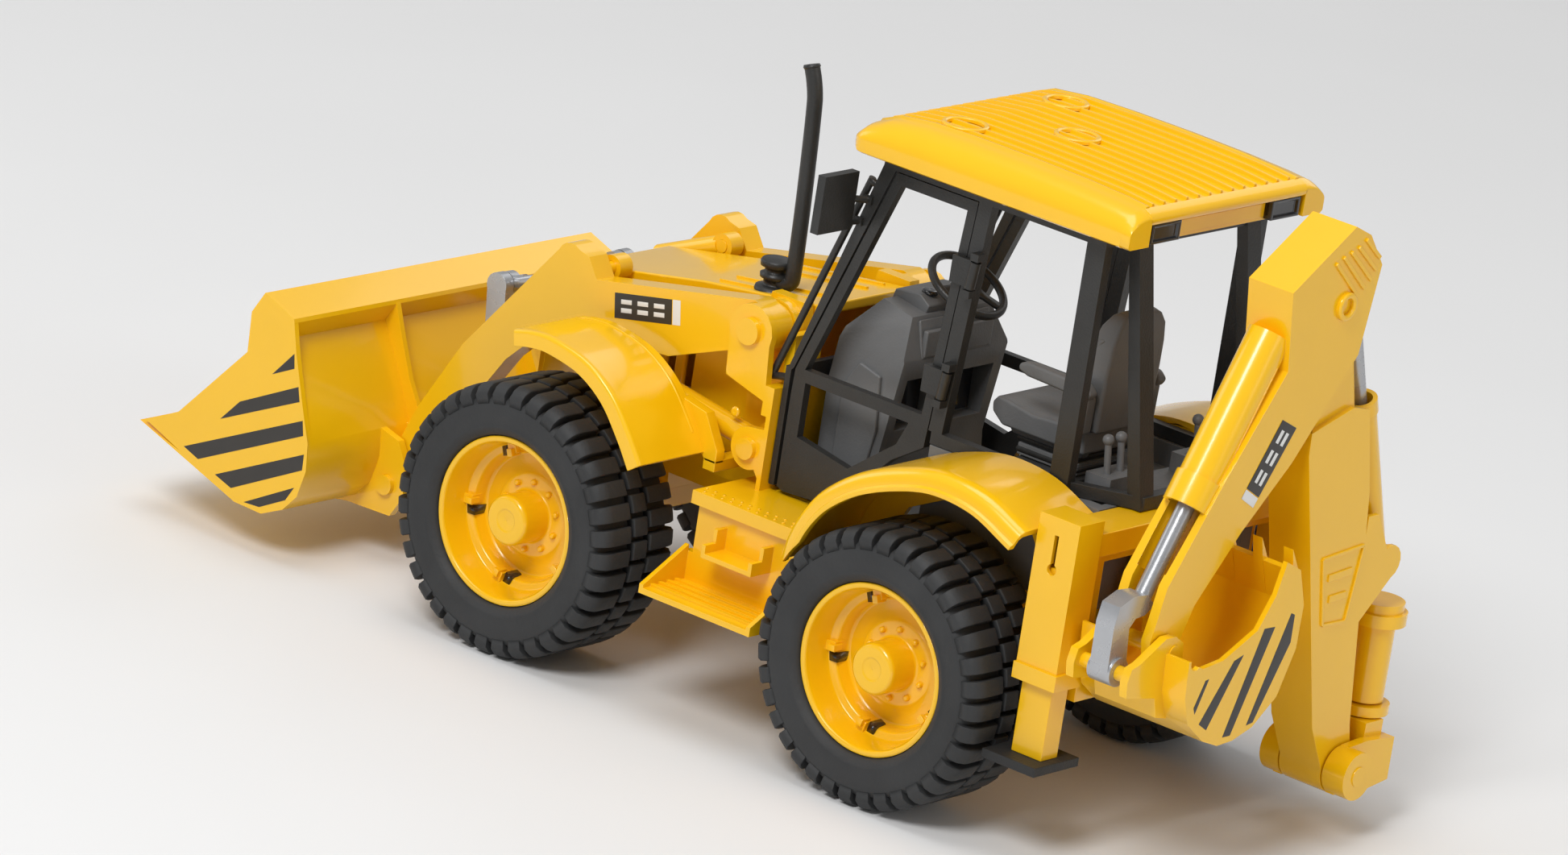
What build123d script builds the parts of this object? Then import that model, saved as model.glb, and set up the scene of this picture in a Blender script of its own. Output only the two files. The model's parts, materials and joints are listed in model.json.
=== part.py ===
from build123d import *
from math import atan2, cos, degrees, hypot, pi, radians, sin
import os

# Toy backhoe loader. +X nose, +Y left side, +Z up, origin on the ground under the
# middle of the bounding box. Shapes are drawn from the rear axle and moved at export.

# ---- driving dimensions (mm) ----
AXLE_X = -92.5            # rear axle from the origin
WHEELBASE = 139.0
TYRE_R, TYRE_W, RIM_R = 40.75, 34.0, 25.2
HUB_Y = 60.0              # middle of a tyre from the centre plane
STUB_R, FIT = 3.0, 0.05   # wheel shaft and its running fit
KING_Y, KING_R = 37.5, 2.5
ARM_IN, ARM_OUT = 30.3, 38.3            # loader arm between these planes
ARM_PIVOT = (85.4, 111.0)
BUCKET_PIVOT = (211.7, 24.1)
LEVER_PIVOT, LEVER_TOP, LEVER_MID = (188.0, 71.0), (190.3, 91.5), (186.6, 80.9)
LINK_END = (210.3, 34.0)
TILT_PIVOT = (150.0, 109.0)
LIFT_PIVOT, LIFT_END = (80.0, 77.0), (160.0, 88.0)
BUCKET_HALF = 74.0
CAB_SIDE, CAB_WALL = 38.0, 3.4
ROOF_HALF, ROOF_LOW, ROOF_TOP = 45.5, 174.5, 188.0
HINGE_LOW, HINGE_TOP = (17.2, 99.0), (10.2, 160.0)
LEG_TRAVEL = 26.5
ARM_X = -79.0             # middle plane of the backhoe arm
POST = (-79.0, -57.0)     # swing axis
BOOM_PIN, DIPPER_PIN = (-38.0, 21.0), (-2.6, 165.2)
RAM_FOOT, RAM_EYE = (-47.5, 82.0), (-11.0, 179.0)
SHOVEL_PIN, ROD_PIN = (56.5, 72.5), (71.5, 67.0)
ROD_BACK = (25.0, 149.5)  # far end of the shovel ram's line
SHOVEL_HALF = 19.0


# ---- drawing helpers ----
def block(x0, x1, y0, y1, z0, z1):
    return Pos((x0 + x1) / 2, (y0 + y1) / 2, (z0 + z1) / 2) * Box(x1 - x0, y1 - y0, z1 - z0)


def solid_of(plane, face, depth):
    return extrude(plane * face, amount=depth)


def side_plate(points, y0, y1):
    """Outline of (x, z) points, thick from y0 to y1."""
    return solid_of(Plane(origin=(0, y1, 0), x_dir=(1, 0, 0), z_dir=(0, -1, 0)),
                    make_face(Polyline(*points, close=True)), y1 - y0)


def cross_plate(points, x0, x1):
    """Outline of (y, z) points, thick from x0 to x1."""
    return solid_of(Plane(origin=(x0, 0, 0), x_dir=(0, 1, 0), z_dir=(1, 0, 0)),
                    make_face(Polyline(*points, close=True)), x1 - x0)


def flat_plate(points, z0, z1):
    return solid_of(Plane(origin=(0, 0, z0)), make_face(Polyline(*points, close=True)), z1 - z0)


def bar(p, q, r):
    a, b = Vector(*p), Vector(*q)
    return solid_of(Plane(origin=a, z_dir=b - a), Circle(r), (b - a).length)


def pin_y(at, y0, y1, r):
    return bar((at[0], y0, at[1]), (at[0], y1, at[1]), r)


def pin_x(at, x0, x1, r):
    return bar((x0, at[0], at[1]), (x1, at[0], at[1]), r)


def flipped(shape):
    return mirror(shape, about=Plane.XZ)


def both(shape):
    return shape + flipped(shape)


def along(p, q, t):
    """Point t mm from p towards q."""
    d = hypot(q[0] - p[0], q[1] - p[1])
    return (p[0] + (q[0] - p[0]) * t / d, p[1] + (q[1] - p[1]) * t / d)


def beam(p, q, half):
    """Outline of a straight bar, half wide each side of the line p to q."""
    d = hypot(q[0] - p[0], q[1] - p[1])
    nx, nz = (q[1] - p[1]) / d * half, -(q[0] - p[0]) / d * half
    return [(p[0] + nx, p[1] + nz), (q[0] + nx, q[1] + nz), (q[0] - nx, q[1] - nz), (p[0] - nx, p[1] - nz)]


def ring(centre, axis, r, ri, width):
    plane = Plane(origin=centre, z_dir=axis)
    return solid_of(plane, Circle(r) - Circle(ri), width)


def arc_points(cx, cz, r, a0, a1, n=10):
    return [(cx + r * cos(radians(a0 + (a1 - a0) * i / n)), cz + r * sin(radians(a0 + (a1 - a0) * i / n)))
            for i in range(n + 1)]


parts = {}


# ---- wheels ----
def tyre(x, side):
    y_in = HUB_Y - TYRE_W / 2
    pts = [(RIM_R, y_in + 3), (31, y_in), (37.5, y_in + 0.8), (TYRE_R, y_in + 4),
           (TYRE_R, y_in + 30), (37.5, y_in + 33.2), (31, y_in + 34), (RIM_R, y_in + 31)]
    face = make_face(Polyline(*[(r, y, 0) for r, y in pts], close=True))
    body = Pos(x, 0, TYRE_R) * revolve(face, Axis.Y)
    for k in range(18):
        a = 20 * k
        lug = block(-2.2, 2.2, y_in - 0.1, y_in + 9, TYRE_R - 3.2, TYRE_R + 1)
        body -= Pos(x, 0, TYRE_R) * Rot(0, a, 0) * lug
        lug = block(-2.2, 2.2, y_in + 25, y_in + 34.1, TYRE_R - 3.2, TYRE_R + 1)
        body -= Pos(x, 0, TYRE_R) * Rot(0, a + 10, 0) * lug
    return body if side > 0 else flipped(body)


def rim(x, side):
    y_in = HUB_Y - TYRE_W / 2
    y_out = y_in + TYRE_W - 2.6
    pts = [(STUB_R + FIT, y_in + 6), (9, y_in + 6), (9, y_in + 12), (19, y_in + 12), (21.5, y_in + 3),
           (RIM_R - 0.0, y_in + 3), (RIM_R - 0.0, y_out), (23.2, y_out), (21.6, y_out - 8),
           (18.5, y_out - 15), (11, y_out - 14), (11, y_out - 12.5), (7.6, y_out - 12.5),
           (7.6, y_out - 1.2), (0, y_out - 1.2), (0, y_out - 5), (STUB_R + FIT, y_out - 5)]
    face = make_face(Polyline(*[(r, y, 0) for r, y in pts], close=True))
    body = revolve(face, Axis.Y)
    for k in range(5):
        body -= Rot(0, 72 * k + 20, 0) * block(-2, 2, y_out - 19, y_out - 6, 15.5, 19.5)
        body += Rot(0, 72 * k + 20, 0) * block(-2.2, 2.2, y_out - 15, y_out - 11, 19.6, 22)
    for k in range(10):
        body += Rot(0, 36 * k, 0) * bar((0, y_out - 14, 9.4), (0, y_out - 11.4, 9.4), 0.8)
    body = Pos(x, 0, TYRE_R) * body
    return body if side > 0 else flipped(body)


for end, x in (("front", WHEELBASE), ("rear", 0.0)):
    for hand, side in (("left", 1), ("right", -1)):
        parts[f"tyre_{end}_{hand}"] = tyre(x, side)
        parts[f"rim_{end}_{hand}"] = rim(x, side)

STUB_END = HUB_Y + TYRE_W / 2 - 2.6 - 5.4
Z_AX = TYRE_R
rear_shaft = pin_y((0, Z_AX), -STUB_END, STUB_END, STUB_R)
parts["rear_axle_shaft"] = rear_shaft
housing = pin_y((0, Z_AX), -44, 44, 6.5) + block(-11, 11, -12, 12, 31, 52)
housing += both(block(-9, 9, 24, 30, 34, 58))
parts["rear_axle_housing"] = housing - pin_y((0, Z_AX), -60, 60, STUB_R)

FX = WHEELBASE
axle = block(FX - 7, FX + 7, -30, 30, 37, 46) + block(FX - 9, FX + 9, -12, 12, 44, 52)
axle += both(block(FX - 5, FX + 5, 29, 42, 47.2, 51) + block(FX - 5, FX + 5, 29, 42, 30.5, 34.3)
             + block(FX - 7, FX + 7, 26, 30.5, 30.5, 51))
axle -= both(bar((FX, KING_Y, 20), (FX, KING_Y, 60), KING_R + FIT))
parts["front_axle_beam"] = axle


def knuckle():
    body = block(FX - 5, FX + 5, 33.2, 42.2, 34.7, 46.8)
    body += bar((FX, KING_Y, 31), (FX, KING_Y, 50.5), KING_R)
    return body + pin_y((FX, Z_AX), 42, STUB_END, STUB_R) + pin_y((FX, Z_AX), 42, 48.5, 5)


parts["steering_knuckle_left"] = knuckle()
parts["steering_knuckle_right"] = flipped(knuckle())

# ---- chassis, hood and loader towers ----
chassis = block(-44.2, 172, -19, 19, 52.2, 64) + block(-44.2, 60, -26, 26, 58, 66)
chassis += block(150, 172, -14, 14, 46, 56) + block(30, 62, -22, 22, 44, 60)
tower = [(76.6, 62), (76.6, 104), (79, 119.5), (91, 119.5), (94.5, 104), (94.5, 62)]
chassis += both(side_plate(tower, 22.2, 26.6))
chassis += both(block(77, 104, 18, 26.6, 60, 64.2)) + block(73.6, 76.6, -26.6, 26.6, 60, 97)
lug = [(76.6, 92)] + arc_points(*ARM_PIVOT, 8, 200, -20) + [(92, 96)]
chassis += both(side_plate(lug, 38.7, 41.2) + side_plate(lug, 26.6, 29.9))
chassis += both(block(73.6, 76.6, 22.2, 34.6, 97, 112) + block(73.6, 75.2, 26.6, 41.2, 66, 97)
                + block(75, 77.2, 26.6, 41.2, 88, 97))
foot = [(75, 69)] + arc_points(*LIFT_PIVOT, 6.4, 240, 300) + arc_points(*LIFT_PIVOT, 6.4, -50, 90) + [(75, 84)]
chassis += both(side_plate(foot, 38.7, 41.2) + side_plate(foot, 27, 29.9))
chassis += both(pin_y(ARM_PIVOT, 29.5, 43, 4) + pin_y(LIFT_PIVOT, 29.5, 43, 3.2))
parts["chassis"] = chassis

hood_side = [(77, 66), (176, 64.5), (176, 99), (168, 104), (120, 113), (77, 118.5)]
hood = side_plate(hood_side, -21, 21) - side_plate([(70, 60), (173, 60), (173, 97), (166, 101.5),
                                                     (119, 110.5), (70, 116)], -18.6, 18.6)
for k in range(6):
    hood -= both(block(120 + 7 * k, 123.5 + 7 * k, 15, 25, 78, 92))
parts["hood"] = hood
grille = block(176, 179, -19, 19, 66, 98)
for k in range(6):
    grille -= block(177.2, 180, -15, 15, 70 + 4.4 * k, 72.4 + 4.4 * k)
parts["grille"] = grille

# exhaust: round base on the hood, side elbow, tall pipe with a forward bend
BASE = (100.5, 14.0)
BX, BY = BASE
stack = bar((BX, BY, 114.6), (BX, BY, 117.0), 5.6) + bar((BX, BY, 116.8), (BX, BY, 123), 3.4)
stack += bar((BX, BY, 122.5), (BX, BY, 125), 4.8) + bar((BX, BY, 119.5), (BX - 6.5, BY, 119.5), 2.2)
stack += bar((BX - 6.5, BY, 117.3), (BX - 4.6, BY, 175), 2.3) + bar((BX - 4.7, BY, 173.5), (BX - 1.6, BY, 183.8), 2.3)
stack += Pos(BX - 4.6, BY, 174.8) * Sphere(2.3)
parts["exhaust_stack"] = stack - hood

# ---- loader arms ----
arm_outline = (arc_points(*ARM_PIVOT, 7.2, 250, 95, 8) +
               [(88, 119.2), (146.5, 107.6), (150.5, 113.4)] + arc_points(157.5, 110.6, 4.9, 130, 20, 5) +
               [(193.0, 73.6), (206.2, 50.6)] + arc_points(*BUCKET_PIVOT, 5.4, 25, -150, 8) +
               [(190.5, 52), (176, 74), (166, 84), (152, 90.5), (116, 93.5), (91.5, 103.2)])
arm = side_plate(arm_outline, ARM_IN, ARM_OUT)
lug = arc_points(*LIFT_END, 4.6, 200, 340, 7) + [(167, 95), (151, 95)]
arm += side_plate(lug, ARM_IN, ARM_OUT)
arm -= side_plate([(140, 80), (170, 80), (170, 93), (140, 94)], 32.2, 37.1)
arm += pin_y(LIFT_END, 31.2, 38.2, 2.2)
arm -= pin_y(ARM_PIVOT, 20, 50, 4 + FIT)
arm -= pin_y(BUCKET_PIVOT, 20, 50, 3 + FIT)
# open channel on the inner side of the knuckle for the tilt ram
arm += pin_y(TILT_PIVOT, 22.3, ARM_IN + 1, 2)
arm += pin_y(LEVER_PIVOT, 25.9, ARM_IN + 1, 2.4)
parts["loader_arms"] = both(arm) + pin_y((187, 58), -ARM_IN - 1, ARM_IN + 1, 4)

# lift rams: barrel on the chassis, rod end on the arm
LIFT_Y0, LIFT_Y1 = 30.3, 38.3
lift_mid = (LIFT_Y0 + LIFT_Y1) / 2
at = lambda t: (lambda p: (p[0], lift_mid, p[1]))(along(LIFT_PIVOT, LIFT_END, t))
barrel = pin_y(LIFT_PIVOT, LIFT_Y0, LIFT_Y1, 4.5)
barrel += bar(at(3), at(50), 3.7) - bar(at(9), at(60), 2.7)
barrel -= pin_y(LIFT_PIVOT, 20, 50, 3.2 + FIT)
parts["lift_ram_barrels"] = both(barrel)
reach = hypot(LIFT_END[0] - LIFT_PIVOT[0], LIFT_END[1] - LIFT_PIVOT[1])
rod = bar(at(27), at(reach - 2), 1.9) + pin_y(LIFT_END, 32.5, 36.8, 3.6)
parts["lift_ram_rods"] = both(rod - pin_y(LIFT_END, 20, 50, 2.2 + FIT))

# tilt lever, its ram and the link down to the bucket
lever = side_plate(beam(LEVER_PIVOT, LEVER_TOP, 3.6), 26.3, 29.9)
lever += pin_y(LEVER_PIVOT, 26.3, 29.9, 4.2) + pin_y(LEVER_TOP, 26.3, 29.9, 3.8)
lever -= pin_y(LEVER_PIVOT, 20, 40, 2.4 + FIT)
lever += pin_y(LEVER_TOP, 22.2, 27, 1.8) + pin_y(LEVER_MID, 22.2, 27, 1.8)
parts["tilt_levers"] = both(lever)
link = side_plate(beam(LEVER_MID, LINK_END, 2.4), 22.4, 25.8)
link += pin_y(LEVER_MID, 22.4, 25.8, 3.6) + pin_y(LINK_END, 22.4, 25.8, 3.6)
link -= pin_y(LEVER_MID, 20, 30, 1.8 + FIT) + pin_y(LINK_END, 20, 30, 1.8 + FIT)
parts["tilt_links"] = both(link)
tilt = lambda t: (lambda p: (p[0], 25.4, p[1]))(along(TILT_PIVOT, LEVER_TOP, t))
sleeve = pin_y(TILT_PIVOT, 22.6, 28.2, 3.8) + bar(tilt(2), tilt(27), 3.5)
sleeve -= bar(tilt(6), tilt(40), 2.8) + pin_y(TILT_PIVOT, 20, 40, 2 + FIT)
parts["tilt_ram_barrels"] = both(sleeve)
reach = hypot(LEVER_TOP[0] - TILT_PIVOT[0], LEVER_TOP[1] - TILT_PIVOT[1])
thin = lambda t: (lambda p: (p[0], 24.4, p[1]))(along(TILT_PIVOT, LEVER_TOP, t))
rod = bar(tilt(11), tilt(reach - 5), 1.4) + pin_y(LEVER_TOP, 22.4, 25.8, 3.6)
rod += bar(thin(reach - 7), thin(reach - 1), 1.9)
parts["tilt_ram_rods"] = both(rod - pin_y(LEVER_TOP, 20, 40, 1.8 + FIT))

# ---- front bucket ----
shell_out = [(283, 26.9), (242, 13.9), (231, 13.6), (223, 17.4), (218.2, 22.9), (216, 31.5), (216.8, 40),
             (221.2, 49.3), (227, 60), (231.6, 68), (228.2, 74), (228.6, 75.2), (241, 79.6), (245.2, 72.5), (245.2, 70.9),
             (240.8, 77), (232.6, 73.8), (234.2, 68.2), (229, 59), (223.4, 48.6), (219.2, 39.5), (218.4, 31.8),
             (220.4, 24.4), (224.4, 19.6), (231.4, 15.9), (241.6, 16.1)]
side_out = [(281, 27.8), (242, 13.9), (231, 13.6), (223, 17.4), (218.2, 22.9), (216, 31.5), (216.8, 40),
            (220.3, 49.3), (225.8, 65), (228.6, 75.2), (241, 79.6), (245.2, 72.5), (244.8, 60),
            (251, 53), (268.3, 34), (275, 30.6)]
HB = BUCKET_HALF
bucket = side_plate(shell_out, -HB, HB)
bucket += both(side_plate(side_out, HB - 1.8, HB))
rib = [(230, 74), (228.2, 74.4), (225, 66.5), (219, 53), (214, 45), (209.5, 38.4), (218, 38), (222.4, 49), (232.4, 67.6)]
bucket += both(side_plate(rib, 27, 28.8))
ear = [(219.5, 41)] + [(209.5, 38.4), (205.6, 32), (204.8, 22)] + [(209, 15), (226, 14.4), (231, 13.6), (224, 19), (218.6, 30)]
bucket += both(side_plate(ear, 38.8, 41.4) + side_plate(ear, 26.4, 29.8))
bucket += both(pin_y(BUCKET_PIVOT, 29, 43, 3) + pin_y(LINK_END, 22.2, 27, 1.8))
parts["front_bucket"] = bucket

# ---- fenders, steps and side boxes ----
front_top = [(146, 97.2), (132, 99.2), (118, 96.6), (107, 90.2), (98.5, 80.6), (92.5, 72.5)]
front_low = [(94.5, 71.5), (100.2, 79.4), (108.6, 88.6), (119, 94.6), (132, 97.2), (146, 95.4)]
fender = side_plate(front_top + front_low, 43.5, 74)
fender += side_plate(front_top + [(96.4, 70.4), (102.6, 78), (110.4, 86.6), (120, 92.4), (132, 94.9), (146, 93.2)], 72.4, 74)
fender += side_plate([(104, 86), (101, 82), (96, 75), (94.8, 73), (92, 70), (88, 70), (88, 74), (94, 84)], 41.2, 45)
fender += block(88, 92.5, 26.8, 45, 67.5, 71)
parts["front_fender_left"] = fender
parts["front_fender_right"] = flipped(fender)

rear_top = [(39.8, 62), (38.2, 69.4), (34.2, 78), (27.6, 86.4), (16.5, 94.2), (2, 100.4), (-12, 103.4), (-28, 102), (-43.6, 95.6)]
rear_low = [(-43.6, 93.4), (-28, 99.8), (-12, 101.2), (1.4, 98.2), (15.4, 92.2), (26, 84.6), (32.2, 76.8), (36.0, 68.8), (37.6, 62)]
rear_fender = side_plate(rear_top + rear_low, 38.6, 74)
skirt = rear_top + [(-43.6, 89.6), (-28, 96), (-12, 97.6), (0.4, 94.8), (13.4, 89.2), (23.4, 82.2), (30.2, 75), (34.4, 67.8), (36.2, 62)]
rear_fender += side_plate(skirt, 72.2, 74)
inner = [(-43.6, 66), (-43.6, 95), (-28, 101), (-12, 102.4), (1.6, 99.4), (16, 93.2), (26.8, 85.4), (33.2, 77.2), (37, 69), (38.4, 63),
         (30, 60), (20, 78), (0, 88), (-24, 84), (-36, 66)]
rear_fender += side_plate(inner, 38.6, 40.6)
parts["rear_fender_left"] = rear_fender
parts["rear_fender_right"] = flipped(rear_fender)

step = block(40.5, 82, 27, 57, 46, 62) + block(40.5, 83.4, 27, 59.4, 62, 66)
step -= block(44, 79, 30, 53, 40, 60)
step += side_plate([(53, 51.5), (72, 51.5), (72, 50), (53, 50)], 57, 66)
step += side_plate([(53, 50), (54.4, 50), (54.4, 58), (53, 58)], 57, 66) - block(50, 60, 61.5, 70, 54, 60)
step += side_plate([(70.6, 50), (72, 50), (72, 58), (70.6, 58)], 57, 66) - block(66, 76, 61.5, 70, 54, 60)
step += block(43, 85, 54, 75.5, 36.6, 38.4) + block(43, 85, 54, 57, 38, 47)
cheek = cross_plate([(56, 38), (75.5, 38), (75.5, 39.4), (57, 49)], 83.5, 85)
step += cheek + Pos(-40.5, 0, 0) * cheek
for k in range(4):
    step += block(44, 84, 60 + 3.6 * k, 61.4 + 3.6 * k, 38.2, 39.3)
step += block(42, 60, 22.2, 28, 50, 57.8)
parts["step_left"] = step
parts["step_right"] = flipped(step)

# ---- rear frame and stabilisers ----
frame = block(-50, -44.2, -54.8, 54.8, 47, 97) + block(-58, -49, -54.8, 54.8, 90, 97)
frame += block(-58, -49, -54.8, 54.8, 47, 54)
for y in (-30, 0, 30):
    frame -= block(-60, -40, y - 10, y + 10, 60, 84)
parts["rear_frame"] = frame
tube = block(-58.4, -44, 54.8, 66, 52.2, 101.2) - block(-56.9, -45.5, 56.3, 64.5, 50, 99.6)
tube += block(-59.2, -43.8, 54.8, 67, 52.2, 57) - block(-56.9, -45.5, 56.3, 64.5, 50, 60)
tube -= block(-51.6, -50.2, 60, 70, 86, 96) + pin_y((-50.9, 86), 60, 70, 1.6)
parts["stabiliser_tube_left"] = tube
parts["stabiliser_tube_right"] = flipped(tube)
leg = block(-56.6, -45.8, 56.6, 64.2, 30.4, 86)
parts["stabiliser_leg_left"] = leg
parts["stabiliser_leg_right"] = flipped(leg)
pad = block(-59.5, -40.4, 50, 70.5, 27.6, 30.4)
parts["foot_pad_left"] = pad
parts["foot_pad_right"] = flipped(pad)

# ---- cab ----
W, T = CAB_SIDE, CAB_WALL
LEAN = 0.2
side_frame = [(70.4, 101), (73.2, 101), (48.6, ROOF_LOW), (-31.5, ROOF_LOW), (-31.5, 97.4), (18.4, 97.4), (18.4, 101)]
opening = [(9.6, 170.6), (-24.8, 170.6), (-24.8, 101.2), (14.6, 101.2)]
doorway = [(14.4, 170.8), (20.0, 94), (80, 60), (80, 95), (70.4, 104), (45.2, 170.8)]
wall = side_plate(side_frame, W - T, W) - side_plate(opening, 0, 60) - side_plate(doorway, 0, 60)
cab = both(wall)
cab += both(block(71.2, 73.2, W - 9, W, 68, 104))
cab += block(71.2, 73.2, -W, W, 97.2, 104) + block(68.6, 73.2, -34.4, 34.4, 66.6, 71)
cab += block(46, 49.6, -W, W, 171, ROOF_LOW)
rear_post = side_plate([(-31.6, ROOF_LOW), (-35.4, ROOF_LOW), (-50.9, 97.4), (-46.2, 97.4)], 22.0, 28.4)
cab += both(rear_post) + block(-35.4, -31.6, -28.4, 28.4, 171, ROOF_LOW)
cab += both(flat_plate([(-31.5, W), (-31.5, W - T), (-35.4, 23.4), (-35.4, 27)], 171, ROOF_LOW))
cab += both(flat_plate([(-28.2, W), (-28.2, W - T), (-50.8, 23.4), (-50.8, 27)], 97.4, 101.2))
cab += block(-50.9, -47.2, -27, 27, 97.4, 101.2)
parts["cab_frame"] = cab

floor = block(-44, 68.4, -33.8, 33.8, 66.6, 68.6) + both(block(-44, 18, 33.4, 38.2, 66.6, 97.2))
floor += block(-43.8, -41, -38, 38, 66.6, 97.2)
floor += both(block(-41.4, 14, 22, 34, 68.4, 90)) - block(-60, 80, -33.4, 33.4, 90.2, 120)
parts["cab_floor"] = floor
dash_side = [(68.2, 68.8), (44, 68.8), (46, 84), (42, 112), (46, 124), (58, 126), (66, 116), (68.2, 100)]
dash = side_plate(dash_side, -24, 24) - block(40, 50, -20, -4, 90, 106) - block(40, 50, 4, 20, 90, 106)
dash -= both(cross_plate([(24.5, 128), (24.5, 112), (16, 128)], 40, 70))
dash -= side_plate([(50, 121), (56, 122.4), (56, 130), (50, 130)], -10, 10)
hub = (44.5, 131.0)
tip = Vector(-0.5, 0, 0.866)
col0 = Vector(49, 0, 120)
dash += bar(tuple(col0), tuple(col0 + tip * 12.5), 2.4)
dash -= bar(tuple(col0 + tip * 7), tuple(col0 + tip * 14), 1.2 + FIT)
parts["dashboard"] = dash
w0 = col0 + tip * 13
wheel = Cylinder(13.3, 2.6) - Cylinder(10.7, 4)
wheel = chamfer(wheel.edges(), 0.8)
for a in (90, 210, 330):
    u, v = cos(radians(a)), sin(radians(a))
    wheel += bar((2 * u, 2 * v, 0), (12 * u, 12 * v, 0), 0.9)
wheel += bar((0, 0, -5.5), (0, 0, 1.5), 1.2) + bar((0, 0, -1.5), (0, 0, 1.5), 3)
parts["steering_wheel"] = Plane(origin=w0 + tip * 1.5, x_dir=tip.cross(Vector(0, 1, 0)), z_dir=tip) * wheel
pedestal = block(-16, 8, -10, 10, 68.8, 72)
for k in range(8):
    e, z = 0.8 * (k % 2), 72 + 3.6 * k
    pedestal += block(-14 + e, 8 - e, -10 + e, 10 - e, z, z + 3.6)
parts["seat_pedestal"] = pedestal
seat_side = [(-17, 101), (13, 101), (17, 105), (15.6, 109.6), (-8, 108.6), (-14.4, 140), (-17.6, 144), (-22, 142.6), (-20.4, 108)]
seat = side_plate(seat_side, -13.6, 13.6)
seat += both(side_plate([(-18, 118), (4, 119), (7, 121), (5, 123.4), (-20, 122.4)], 14.4, 18))
seat += both(side_plate([(-19, 110), (-12, 110), (-13, 122.6), (-20, 122.4)], 13, 18))
parts["seat"] = seat
console = block(-40.6, -28, -30, 30, 90.4, 97.2) + both(block(-39, -30, 12, 28, 97, 103) + block(-37, -33, 14, 17, 103, 106))
for y in (-24, -18, 18, 24):
    console += bar((-34.5, y, 102.5), (-33.2, y, 112), 1.0) + Pos(-33.1, y, 112.6) * Sphere(1.7)
console -= both(block(-37, -33, 13.9, 17.1, 102.9, 110))
parts["lever_console"] = console

door_out = [(44.7, 170.4), (14.8, 170.4), (20.4, 95.4), (31, 88.4), (39.4, 79.4), (44.6, 68.6), (68.0, 67.2), (70.2, 68.2),
            (70.2, 96), (69.9, 104)]
door_win = [(42.6, 167), (18.2, 167), (22.9, 104.6), (66.4, 104.6)]
door_low = [(65.6, 100.8), (65.6, 84.4), (46, 81), (30.2, 93.4), (27, 100.8)]
door = side_plate(door_out, W - 3.0, W - 0.2) - side_plate(door_win, 0, 60) - side_plate(door_low, 0, 60)
hinge = lambda z: (HINGE_LOW[0] + (HINGE_TOP[0] - HINGE_LOW[0]) * (z - HINGE_LOW[1]) / (HINGE_TOP[1] - HINGE_LOW[1]))
for z in (116, 150):
    leaf = [(hinge(z) + 1, z - 4), (hinge(z) + 8, z - 4), (hinge(z) + 8, z + 4), (hinge(z) + 0.6, z + 4)]
    door += side_plate(leaf, W + 0.3, W + 1.8) + block(hinge(z) + 5.2, hinge(z) + 8, W - 1, W + 1, z - 4, z + 4)
    door += bar((hinge(z - 4), W + 1.8, z - 4), (hinge(z + 4), W + 1.8, z + 4), 1.5)
    door -= bar((hinge(z - 5), W + 1.8, z - 5), (hinge(z + 5), W + 1.8, z + 5), 0.7 + FIT)
parts["door_left"] = door
parts["door_right"] = flipped(door)
pins = None
for z in (116, 150):
    p = bar((hinge(z - 6.6), W + 1.8, z - 6.6), (hinge(z + 6.6), W + 1.8, z + 6.6), 0.7)
    for s in (-1, 1):
        zc = z + s * 5.6
        p += block(hinge(zc) - 1.4, hinge(zc) + 1.4, W, W + 3.2, zc - 1.1, zc + 1.1)
    pins = p if pins is None else pins + p
parts["door_hinges"] = both(pins)

TOP = [(56, ROOF_LOW), (-38, ROOF_LOW), (-43.6, 177.6), (-44.4, 183.6), (-40, 186.4), (0, ROOF_TOP),
       (32, ROOF_TOP), (48, 186.4), (55, 183.6), (58.4, 179)]
roof = side_plate(TOP, -ROOF_HALF, ROOF_HALF)
roof -= both(cross_plate([(46, 190), (46, 182.6), (43.4, 186.6), (40, 188.1), (38, 190)], -60, 60))
roof -= block(-60, -41.2, -36, 36, 170, 181)
for k in range(-6, 7):
    roof += block(-32, 40, 5.4 * k - 0.6, 5.4 * k + 0.6, 184, 188.2)
roof -= block(-30, 40, -34, 34, 172, 177)
parts["roof"] = roof
parts["work_lamps"] = both(block(-44.2, -41.2, 22.6, 30.6, 175.2, 180.6))
mirrors = block(54.6, 57.4, 42.2, 57.4, 151.2, 168.4) + bar((55.8, 42.6, 153), (55.2, W + 0.5, 153), 1.0)
mirrors += bar((55.8, 42.6, 160), (53, W + 0.5, 160), 1.0)
mirrors += block(53.8, 56.4, W, W + 1, 151.8, 154.2) + block(51.4, 54.0, W, W + 1, 158.8, 161.2)
parts["mirrors"] = both(mirrors)
rail = bar((78.9, W - 1.5, 99), (54.0, W - 1.5, 166), 1.1)
rail += bar((78.9, W - 1.5, 99), (72.9, W - 1.5, 100.2), 1.1) + bar((54.1, W - 1.5, 165), (50.2, W - 1.5, 164), 1.1)
rail += Pos(78.9, W - 1.5, 99) * Sphere(1.1)
parts["handrails"] = both(rail) - cab

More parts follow.
